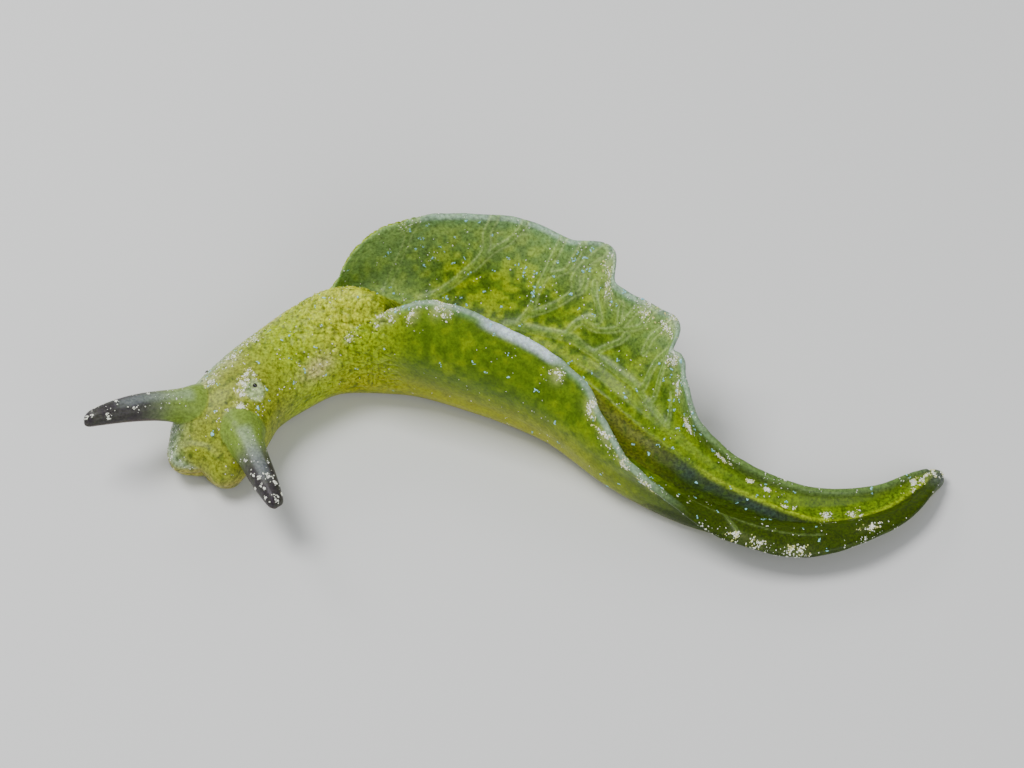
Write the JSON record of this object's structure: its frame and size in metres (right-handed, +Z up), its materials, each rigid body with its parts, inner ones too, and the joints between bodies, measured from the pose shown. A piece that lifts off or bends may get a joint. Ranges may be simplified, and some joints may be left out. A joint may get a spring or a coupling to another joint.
{
  "type": "sap-sucking sea slug",
  "caption": "Crawling green sea slug with rolled rhinophores, two mouth lobes and wing-like side flaps half open over its back, its tail curving aside.",
  "frame": {"origin": "on the floor, under the middle of the whole animal's box", "axes": "+Z up from the flat sole; +X from the head end towards the tail tip, along the animal's longest extent; +Y towards the side of the animal's right flap"},
  "size_m": [0.0382, 0.0154, 0.0071],
  "materials": {
    "green_skin": "moist smooth skin, green with yellow mottling",
    "head_skin": "moist smooth skin, paler green",
    "sole_skin": "moist smooth pale sole",
    "parapodium_skin": "moist thin skin, green with pale veins",
    "rhinophore_skin": "moist skin, dark grey purple with white specks",
    "eye_black": "glossy black"
  },
  "bodies": {
    "root": {"head": "head_skin", "neck": "green_skin", "trunk_front": "green_skin", "trunk_middle": "green_skin", "trunk_rear": "green_skin", "tail_base": "green_skin", "tail_tip": "green_skin", "foot_front": "sole_skin", "foot_middle": "sole_skin", "foot_rear": "sole_skin", "parapodium_right_front": "parapodium_skin", "parapodium_right_middle": "parapodium_skin", "parapodium_right_rear": "parapodium_skin", "parapodium_right_tail": "parapodium_skin", "parapodium_left_front": "parapodium_skin", "parapodium_left_middle": "parapodium_skin", "parapodium_left_rear": "parapodium_skin", "parapodium_left_tail": "parapodium_skin", "rhinophore_right": "rhinophore_skin", "rhinophore_left": "rhinophore_skin", "eye_right": "eye_black", "eye_left": "eye_black"}
  },
  "joints": []
}
